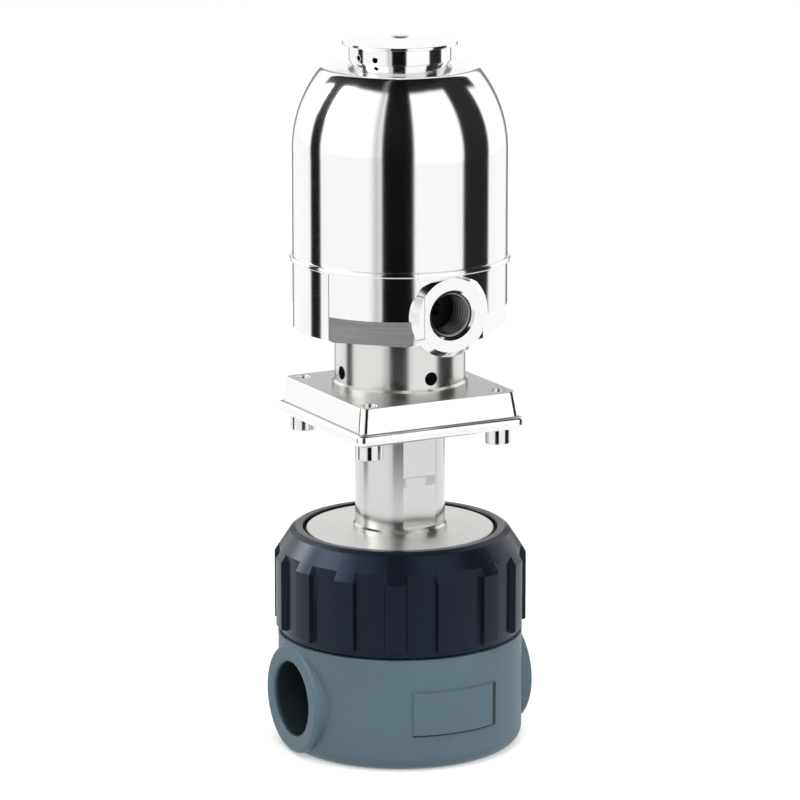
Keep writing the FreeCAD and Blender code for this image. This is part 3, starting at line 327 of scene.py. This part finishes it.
# The pad's step has painted shadow along its right and its lower edge, as fine dark lines.
PAD_HALF_ANGLE = math.radians(21.85)
PAD_BOTTOM, PAD_TOP = 10.0, 21.6
away_y = add_node(tree, "Math", {0: parts.outputs[1], 1: -1.0}, operation="MULTIPLY")
angle = add_node(tree, "Math", {0: parts.outputs[0], 1: away_y.outputs[0]}, operation="ARCTAN2")
SHADOW_LINE_ANGLE, SHADOW_LINE_HEIGHT = math.radians(1.15), 0.25
inside = PAD_HALF_ANGLE - math.radians(1.1)
right = add_node(tree, "Math", {0: angle.outputs[0], 1: inside, 2: SHADOW_LINE_ANGLE}, operation="COMPARE")
span = (PAD_TOP - PAD_BOTTOM) / 2
tall = add_node(tree, "Math", {0: parts.outputs[2], 1: (PAD_BOTTOM + span) * MM, 2: span * MM},
                operation="COMPARE")
lower = add_node(tree, "Math",
                 {0: parts.outputs[2], 1: (PAD_BOTTOM - 0.05) * MM, 2: SHADOW_LINE_HEIGHT * MM},
                 operation="COMPARE")
wide = add_node(tree, "Math", {0: angle.outputs[0], 1: 0.0, 2: PAD_HALF_ANGLE + 0.005},
                operation="COMPARE")
right = add_node(tree, "Math", {0: right.outputs[0], 1: tall.outputs[0]}, operation="MULTIPLY")
lower = add_node(tree, "Math", {0: lower.outputs[0], 1: wide.outputs[0]}, operation="MULTIPLY")
edges = add_node(tree, "Math", {0: right.outputs[0], 1: lower.outputs[0]}, operation="MAXIMUM")
edges = add_node(tree, "Math", {0: edges.outputs[0], 1: 0.93}, operation="MULTIPLY")
# Painted shadow: the pad's right and lower edges are mixed towards near black.
painted_pad_shadow = add_node(tree, "Mix",
                {"Factor": edges.outputs[0], "A": painted_bore_shade.outputs["Result"], "B": srgb("#0f171b")},
                data_type="RGBA")
set_inputs(tree, surface, {"Base Color": painted_pad_shadow.outputs["Result"]})
dress("valve_body", pvc)

# Diaphragm and its stud: a moulded EPDM rubber disc that closes on the weir, with a headed steel
# stud moulded into its back and screwed into the presser.


def rubber_finish(name, colour, bloom):
    """Moulded rubber: near black, with a pale bloom in patches of about 6 mm and a 0.3 mm grain."""
    material, tree, shader = start_material(name)
    place = add_node(tree, "TexCoord")
    patch = add_node(tree, "TexNoise",
                     {"Vector": place.outputs["Object"], "Scale": 1.0 / (6.0 * MM), "Detail": 4.0})
    grain = add_node(tree, "TexNoise",
                     {"Vector": place.outputs["Object"], "Scale": 1.0 / (0.3 * MM), "Detail": 1.0})
    tint = add_node(tree, "Mix", {"Factor": patch.outputs[0], "A": srgb(colour), "B": srgb(bloom)},
                    data_type="RGBA")
    gloss = add_node(tree, "MapRange", {"Value": patch.outputs[0], "To Min": 0.5, "To Max": 0.75})
    rise = add_node(tree, "Bump",
                    {"Height": grain.outputs[0], "Distance": 0.004 * MM, "Strength": 1.0})
    set_inputs(tree, shader, {"Base Color": tint.outputs["Result"], "Roughness": gloss.outputs[0],
                              "Specular IOR Level": 0.35, "Normal": rise.outputs[0]})
    return material


rubber = rubber_finish("moulded_rubber", "#161617", "#242425")
fastener_steel = turned_metal("bright_screw_steel", "#efefed", "#dcdcda", 0.07, 0.35, 0.0001, 0.35)
dress("diaphragm", rubber)
dress("diaphragm_stud", fastener_steel)

# Presser and its cross pin: a glass-filled plastic moulding that pushes the diaphragm down, held
# on the spindle by a steel pin through its hub.
presser = moulded_plastic("presser_moulded", "#2d4a78", "#26406a", 0.5, 0.4, 0.4, 0.006, 0.2)
dress("compressor", presser)
dress("compressor_pin", fastener_steel)


def rounded(corners, steps=5):
    """A closed outline whose corners (r, z, radius), in millimetres and listed with the solid on
    their left, become arcs that touch both sides. Each arc runs from one touching point to the
    other by turning the spoke from its centre through equal angles."""
    corners = np.array(corners, float)
    spot, radius = corners[:, :2], corners[:, 2:]
    back = np.roll(spot, 1, axis=0) - spot
    ahead = np.roll(spot, -1, axis=0) - spot
    back /= np.linalg.norm(back, axis=1, keepdims=True)
    ahead /= np.linalg.norm(ahead, axis=1, keepdims=True)
    half = np.arccos(np.clip((back * ahead).sum(axis=1, keepdims=True), -1, 1)) / 2
    middle = back + ahead
    middle /= np.maximum(np.linalg.norm(middle, axis=1, keepdims=True), 1e-9)
    centre = spot + middle * radius / np.sin(half)
    reach = radius / np.tan(half)
    first, last = spot + back * reach - centre, spot + ahead * reach - centre
    sweep = (np.pi - 2 * half)[:, :, None]
    share = np.linspace(0, 1, steps)[None, :, None]
    spokes = np.sin((1 - share) * sweep) * first[:, None] + np.sin(share * sweep) * last[:, None]
    spokes = spokes / np.maximum(np.sin(sweep), 1e-9)
    return (centre[:, None] + spokes).reshape(-1, 2)


def shade_smoothly(piece, angle=32.0):
    """Shade a piece smoothly. Its large faces keep their directions, and edges sharper than the
    angle stay sharp."""
    piece.data.polygons.foreach_set("use_smooth", np.ones(len(piece.data.polygons), bool))
    piece.data.set_sharp_from_angle(angle=math.radians(angle))
    weighted = piece.modifiers.new("large_faces_lead", "WEIGHTED_NORMAL")
    weighted.keep_sharp = True
    weighted.weight = 80


def turned(name, outline, count=240):
    """A solid of revolution: the outline's point (r, z), in millimetres, is carried to
    (r cos a, r sin a, z) for each of count equal angles a round the spindle's axis."""
    turn = np.arange(count) * 2 * np.pi / count
    radius, height = outline[:, 0:1], outline[:, 1:2]
    points = np.stack([radius * np.cos(turn), radius * np.sin(turn),
                       np.broadcast_to(height, (len(outline), count))],
                      axis=-1)
    return grid_mesh(name, points * MM, wrap_rows=True, wrap_columns=True)


def fix(piece, body, slot, material, *nodes):
    """Finish a new piece: its material, the CAD body that it rides on and the nodes that it stands
    for. The slot is not used."""
    piece.data.materials.append(material)
    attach(piece, body)
    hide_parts(*nodes)


# Bonnet: the stainless steel cover under the union nut. It is turned from bar, and its bright
# disc, which shows inside the nut, is faced on the lathe, so fine rings run round it.
bonnet_steel = turned_metal("faced_stainless_steel", "#e2e2df", "#c8c8c5", 0.40, 0.3, 0.0012)
bonnet = turned("bonnet_cover", rounded([
    (15.6, 31.8, 0.3), (25.3, 31.8, 0.3), (25.3, 47.2, 0.2), (28.5, 47.2, 0.4),
    (28.5, 54.8, 0.4), (24.9, 54.8, 0.1), (24.9, 58.3, 0.35), (6.03, 58.3, 0.2),
    (6.03, 50.3, 0.05), (4.25, 50.3, 0.05), (4.25, 45.8, 0.2), (15.6, 45.8, 0.5)]))
shade_smoothly(bonnet)
fix(bonnet, "housing", "satin_steel", bonnet_steel, "bonnet")

# Spindle, its bushes and its seals: a ground and polished steel rod that runs in two plain
# acetal bushes, with an O-ring in the bonnet and two in the actuator's base.
spindle_steel = turned_metal("ground_spindle_steel", "#dededc", "#cacac8", 0.12, 0.2, 0.0002)
acetal = moulded_plastic("acetal_moulded", "#e7e5dc", "#dcd9ce", 0.4, 0.45, 0.5, 0.003, 0.15)
dress("spindle", spindle_steel)
dress("spindle_seals", rubber)
dress("lower_guide_bush", acetal)
dress("upper_guide_bush", acetal)

# Union nut: one moulding of near-black glass-filled plastic, screwed onto the body's upstand.
# Fifteen flat ribs give the hand or a strap wrench its grip, and a cone leads up to a rolled lip.
NUT_RIBS = 15
RIB_ANGLE = 10.1
RIB_SIDE = 0.9


def castellated(name):
    """The nut's skin. A skirt outline and a rib outline have the same number of points, and at angle
    a round the axis each point lies between its two places, by a share that is 1 on a rib, 0 in a
    recess, and rises smoothly over the rib's side. The inner wall is the same in both."""
    skirt = [(29.5, 30.8, 0.2), (32.0, 30.8, 0.35), (32.0, 32.55, 0.05), (32.0, 32.8, 0.05),
             (32.0, 51.1, 0.3), (32.0, 53.4, 0.4), (29.2, 57.7, 0.6), (27.9, 58.6, 0.6),
             (25.8, 58.6, 0.4), (25.8, 54.8, 0.1), (29.5, 54.8, 0.3)]
    rib = [(29.5, 30.8, 0.2), (32.0, 30.8, 0.35), (32.0, 32.55, 0.05), (33.5, 32.75, 0.4),
           (33.5, 51.1, 0.45), (32.0, 53.45, 0.2), (29.2, 57.7, 0.6), (27.9, 58.6, 0.6),
           (25.8, 58.6, 0.4), (25.8, 54.8, 0.1), (29.5, 54.8, 0.3)]
    skirt, rib = rounded(skirt, 6), rounded(rib, 6)
    pitch, half = 360.0 / NUT_RIBS, RIB_ANGLE / 2
    side = half + RIB_SIDE / 2 - RIB_SIDE * (1 - np.cos(np.linspace(0, np.pi, 7))) / 2
    one = np.concatenate([np.linspace(-half + RIB_SIDE, half - RIB_SIDE, 9), side[::-1][1:],
                          np.linspace(half + RIB_SIDE, pitch - half - RIB_SIDE, 9)[1:-1],
                          pitch - side])
    turn = np.unique(np.round(np.concatenate([one + pitch * number for number in range(NUT_RIBS)]) % 360.0, 5))
    away = np.abs((turn + pitch / 2) % pitch - pitch / 2)
    share = np.clip((half + RIB_SIDE / 2 - away) / RIB_SIDE, 0, 1)
    share = share * share * (3 - 2 * share)
    points = skirt[:, None] + (rib - skirt)[:, None] * share[None, :, None]
    angle = np.radians(turn)[None, :]
    solid = np.stack([points[..., 0] * np.cos(angle), points[..., 0] * np.sin(angle),
                      points[..., 1]], axis=-1)
    return grid_mesh(name, solid * MM, wrap_rows=True, wrap_columns=True)


# Glass-filled polyamide: blue-black, with a soft sheen and a fine moulded grain.
polyamide = moulded_plastic("black_polyamide_moulded", "#10141e", "#0b0e16", 0.28, 0.32, 0.5, 0.003,
                            0.1)
polyamide.node_tree.nodes["Principled BSDF"].inputs["Specular Tint"].default_value = srgb("#b4caf0")
nut = castellated("union_nut_skin")
shade_smoothly(nut, 40.0)
fix(nut, "housing", "black_plastic", polyamide, "union_nut")

# A long softbox, which lights the nut alone, draws the sheen on the left of its cone.
NUT_BOX_DISTANCE = 1.0
strip = bpy.data.lights.new("nut_box", "AREA")
strip.shape = "RECTANGLE"
strip.size, strip.size_y = 0.55, 0.70
strip.energy = 9.5
nut_box = bpy.data.objects.new("nut_box", strip)
scene.collection.objects.link(nut_box)
around, up = CAMERA_SIDE + math.radians(-107.0), math.radians(31.0)
point_at(nut_box, (NUT_BOX_DISTANCE * math.cos(up) * math.sin(around),
                   -NUT_BOX_DISTANCE * math.cos(up) * math.cos(around),
                   NUT_BOX_DISTANCE * math.sin(up) + 0.05), (0.0, 0.0, 0.05))
lit_alone = bpy.data.collections.new("lit_by_nut_box")
lit_alone.objects.link(nut)
nut_box.light_linking.receiver_collection = lit_alone

# Neck: a turned stainless tube between disc and flange, pressed onto its foot, with flats
# milled on it above and below a narrow rib so that a spanner can hold it.
neck_steel = turned_metal("turned_stainless_steel", "#d9d9d7", "#cdcdcb", 0.17, 0.12, 0.00005,
                          faced=0.0)
dress("neck_tube", neck_steel)

# Square flange: the neck's lower plate and the actuator's upper plate, both ground stainless
# steel, held together by four socket head screws put in from below.
PLATE_GRAIN = 0.5


def ground_metal(name, colour, shade, roughness, spacing, depth, edge):
    """Ground plate: fine straight scratches along the pipe, read at coordinates that are stretched
    twelve times along X and spaced in millimetres across it. Level faces are left as ground, and
    the sides are polished, to a third of the roughness and a lighter tone."""
    material, tree, shader = start_material(name)
    place = add_node(tree, "TexCoord")
    along = add_node(tree, "Mapping",
                     {"Vector": place.outputs["Object"], "Scale": (1 / 12.0, 1.0, 1.0)})
    marks = add_node(tree, "TexNoise",
                     {"Vector": along.outputs[0], "Scale": 1.0 / (spacing * MM), "Detail": 3.0})
    facing = add_node(tree, "SeparateXYZ",
                      {0: add_node(tree, "NewGeometry").outputs["True Normal"]})
    level = add_node(tree, "MapRange",
                     {"Value": facing.outputs[2], "From Min": 0.8, "From Max": 0.95})
    dull = add_node(tree, "MapRange",
                    {"Value": level.outputs[0], "To Min": roughness / 3, "To Max": roughness})
    uneven = add_node(tree, "MapRange",
                      {"Value": marks.outputs[0], "From Min": 0.3, "From Max": 0.7,
                       "To Min": 0.85, "To Max": 1.2})
    gloss = add_node(tree, "Math", {0: dull.outputs[0], 1: uneven.outputs[0]}, operation="MULTIPLY")
    ground = add_node(tree, "Mix",
                      {"Factor": marks.outputs[0], "A": srgb(shade), "B": srgb(colour)},
                      data_type="RGBA")
    tint = add_node(tree, "Mix",
                    {"Factor": level.outputs[0], "A": srgb("#f4f4f3"),
                     "B": ground.outputs["Result"]},
                    data_type="RGBA")
    soft = add_node(tree, "Bevel", {"Radius": edge * MM}, samples=8)
    rise = add_node(tree, "Bump",
                    {"Height": marks.outputs[0], "Distance": depth * MM, "Strength": 1.0,
                     "Normal": soft.outputs[0]})
    set_inputs(tree, shader, {"Base Color": tint.outputs["Result"], "Metallic": 1.0,
                              "Roughness": gloss.outputs[0], "Normal": rise.outputs[0]})
    return material


plate_steel = ground_metal("ground_stainless_steel", "#c0c0bd", "#a2a29f", 0.33, PLATE_GRAIN,
                           0.0004, 0.6)
dress("lower_flange_plate", plate_steel)
dress("upper_flange_plate", plate_steel)
dress("flange_screws", fastener_steel)

# Distance piece: a turned stainless ring between flange and actuator, with a foot ring and four
# tell-tale holes that show if a spindle seal leaks.
spacer_steel = turned_metal("satin_stainless_steel", "#e0e0de", "#d4d4d1", 0.20, 0.12, 0.00005,
                            faced=0.0)
dress("distance_piece", spacer_steel)

# Base of the actuator: turned and polished stainless steel, with four flats for a wrench, the
# boss of the control air port, and a collar and plug on which the dome sits.
polished_steel = turned_metal("polished_stainless_steel", "#f6f6f5", "#eeeeed", 0.10, 0.3, 0.0002,
                              0.45)
housing_steel = turned_metal("polished_housing_steel", "#f6f6f5", "#eeeeed", 0.10, 0.3, 0.0002)
# One pair of flats is left satin as it is milled: where |x| + |y| has the flats' own value and x y
# is above 0. The cutter leaves level streaks 0.7 mm apart. The flats' dark grey tone is painted
# shade.
FLAT_DISTANCE = 25.9
tree = housing_steel.node_tree
parts = add_node(tree, "SeparateXYZ", {0: add_node(tree, "TexCoord").outputs["Object"]})
first = add_node(tree, "Math", {0: parts.outputs[0]}, operation="ABSOLUTE")
second = add_node(tree, "Math", {0: parts.outputs[1]}, operation="ABSOLUTE")
total = add_node(tree, "Math", {0: first.outputs[0], 1: second.outputs[0]}, operation="ADD")
flat = add_node(tree, "Math",
                {0: total.outputs[0], 1: FLAT_DISTANCE * math.sqrt(2) * MM, 2: 0.08 * MM},
                operation="COMPARE")
pair = add_node(tree, "Math", {0: parts.outputs[0], 1: parts.outputs[1]}, operation="MULTIPLY")
pair = add_node(tree, "Math", {0: pair.outputs[0], 1: 0.0}, operation="GREATER_THAN")
flat = add_node(tree, "Math", {0: flat.outputs[0], 1: pair.outputs[0]}, operation="MULTIPLY")
streak = add_node(tree, "Mapping", {"Vector": add_node(tree, "TexCoord").outputs["Object"],
                                    "Scale": (0.08, 0.08, 1.0)})
streak = add_node(tree, "TexNoise",
                  {"Vector": streak.outputs[0], "Scale": 1.0 / (0.7 * MM), "Detail": 4.0})
# Painted shade: the streaks on the milled flats are given a dark grey tone.
streak = add_node(tree, "Mix",
                  {"Factor": streak.outputs[0], "A": srgb("#767674"), "B": srgb("#a2a2a0")},
                  data_type="RGBA")
surface = tree.nodes["Principled BSDF"]
milled = add_node(tree, "Mix",
                  {"Factor": flat.outputs[0],
                   "A": surface.inputs["Base Color"].links[0].from_socket,
                   "B": streak.outputs["Result"]}, data_type="RGBA")
satin = add_node(tree, "Mix",
                 {"Factor": flat.outputs[0], "A": surface.inputs["Roughness"].links[0].from_socket,
                  "B": 0.34}, data_type="FLOAT")
# The drilled inside of the air port has painted shade, near black, and is left dull.
AIR_PORT_HEIGHT = 120.8
level = add_node(tree, "Math", {0: parts.outputs[2], 1: -AIR_PORT_HEIGHT * MM}, operation="ADD")
ring = add_node(tree, "CombineXYZ", {0: parts.outputs[0], 1: level.outputs[0]})
ring = add_node(tree, "VectorMath", {0: ring.outputs[0]}, operation="LENGTH")
within = add_node(tree, "Math", {0: ring.outputs["Value"], 1: 6.0 * MM}, operation="LESS_THAN")
deep = add_node(tree, "Math", {0: parts.outputs[1], 1: -21.0 * MM, 2: 7.0 * MM},
                operation="COMPARE")
drilled = add_node(tree, "Math", {0: within.outputs[0], 1: deep.outputs[0]}, operation="MULTIPLY")
# Painted shade: inside the air port, the steel turns near black.
painted_port_shade = add_node(tree, "Mix",
                {"Factor": drilled.outputs[0], "A": milled.outputs["Result"], "B": srgb("#2c2c2b")},
                data_type="RGBA")
dull = add_node(tree, "Mix", {"Factor": drilled.outputs[0], "A": satin.outputs["Result"], "B": 0.5},
                data_type="FLOAT")
set_inputs(tree, surface,
           {"Base Color": painted_port_shade.outputs["Result"], "Roughness": dull.outputs["Result"]})
dress("base_housing", housing_steel)

# The collar's edge is rolled to a bead, as turned stainless parts often are.
bead = turned("collar_bead",
              rounded([(27.9, 130.92, 0.02), (28.98, 130.92, 0.5), (28.98, 132.36, 0.66),
                       (27.9, 132.36, 0.02)], 9), 360)
shade_smoothly(bead, 60.0)
fix(bead, "housing", "polished_steel", polished_steel)


def threaded_bore(name, radius, crest, pitch, near, far, height):
    """The inside thread of a bore along -Y, at a height above the origin, between two distances from
    the spindle's axis. At angle a and depth d its radius is the bore's less crest times a wave that
    rises and falls once in each pitch of d / pitch + a / (2 pi), so its ridge is a helix."""
    turn = np.linspace(0, 2 * np.pi, 97)[:-1]
    depth = np.arange(near, far, pitch / 10)
    phase = (depth[:, None] / pitch + turn[None, :] / (2 * np.pi)) % 1
    inner = radius - crest * np.clip(1.6 * (1 - np.abs(2 * phase - 1)) - 0.2, 0, 1)
    ring = np.concatenate([np.full((2, 96), radius + 0.15), inner[::-1]])
    place = np.concatenate([[near, far], depth[::-1]])[:, None]
    points = np.stack([ring * np.cos(turn), np.broadcast_to(-place, ring.shape),
                       ring * np.sin(turn) + height],
                      axis=-1)
    return grid_mesh(name, points * MM, wrap_rows=True, wrap_columns=True)


# The air port's pipe thread, cut with a tap. Its tone, darker than the polished steel round it,
# is painted shade inside the bore.
tapped_steel = turned_metal("tapped_steel", "#9a9a97", "#6f6f6c", 0.35, 0.4, 0.001)
thread = threaded_bore("air_port_thread", 5.7, 0.5, 1.337, 19.15, 27.7, AIR_PORT_HEIGHT)
shade_smoothly(thread, 50.0)
fix(thread, "housing", "polished_steel", tapped_steel)
dress("dome_seal", rubber)

# Dome: the actuator's cylinder, spun from stainless sheet and mirror polished, with an ogive
# top that ends in a small flat rim round the shallow roof.
HOUSING_RADIUS = 28.25
ARC_RADIUS = 34.3
ARC_BOTTOM = 159.95
WALL = 1.5


def ogive(radius, bottom, top, steps):
    """Points of the dome's side arc: its centre is level with the arc's bottom and inside the axis,
    so that the arc leaves the cylinder upright. z rises in equal turns of the spoke."""
    centre = HOUSING_RADIUS - ARC_RADIUS
    spoke = np.linspace(np.arcsin((bottom - ARC_BOTTOM) / radius),
                        np.arcsin((top - ARC_BOTTOM) / radius), steps)
    return np.stack([centre + radius * np.cos(spoke), ARC_BOTTOM + radius * np.sin(spoke)], axis=-1)


CEILING = 179.95
outer = ogive(ARC_RADIUS, ARC_BOTTOM, 181.0, 60)
inner = ogive(ARC_RADIUS - WALL, ARC_BOTTOM, CEILING, 40)[::-1]
rim = np.array([(20.80, 181.22), (20.62, 181.40), (20.35, 181.56), (20.0, 181.66)])
dome_outline = np.concatenate([
    [(26.75, 132.3), (28.1, 132.3), (28.2, 132.36), (28.25, 132.5)], outer, rim,
    [(13.55, 183.53), (13.4, 183.55), (11.75, 183.55), (11.75, 181.7),
     (9.85, 181.7), (9.85, 183.55), (8.05, 183.55), (8.05, CEILING)], inner])
dome = turned("dome_shell", dome_outline)
shade_smoothly(dome, 40.0)
fix(dome, "housing", "polished_steel", polished_steel, "dome")

# Springs and piston: two round-wire springs push an aluminium piston down and so close the
# valve. The piston is held on the spindle by a washer and a locknut, and sealed by an O-ring.
piston_metal = turned_metal("turned_aluminium", "#dcdcdc", "#c8c8c8", 0.3, 0.3, 0.001)
wire_steel = turned_metal("oiled_spring_steel", "#8b8d90", "#6f7174", 0.28, 0.5, 0.0006)
dress("outer_spring", wire_steel)
dress("inner_spring", wire_steel)
dress("piston", piston_metal)
dress("piston_seal", rubber)
dress("piston_washer", fastener_steel)
dress("piston_locknut", fastener_steel)

# Top cap: a turned and polished stainless mushroom, screwed into the roof of the dome over its
# seal, with two small vents in its neck, and the indicator pin's tip in the middle of its crown.
dress("top_cap", polished_steel)
dress("cap_seal", rubber)
dress("indicator_pin", neck_steel)
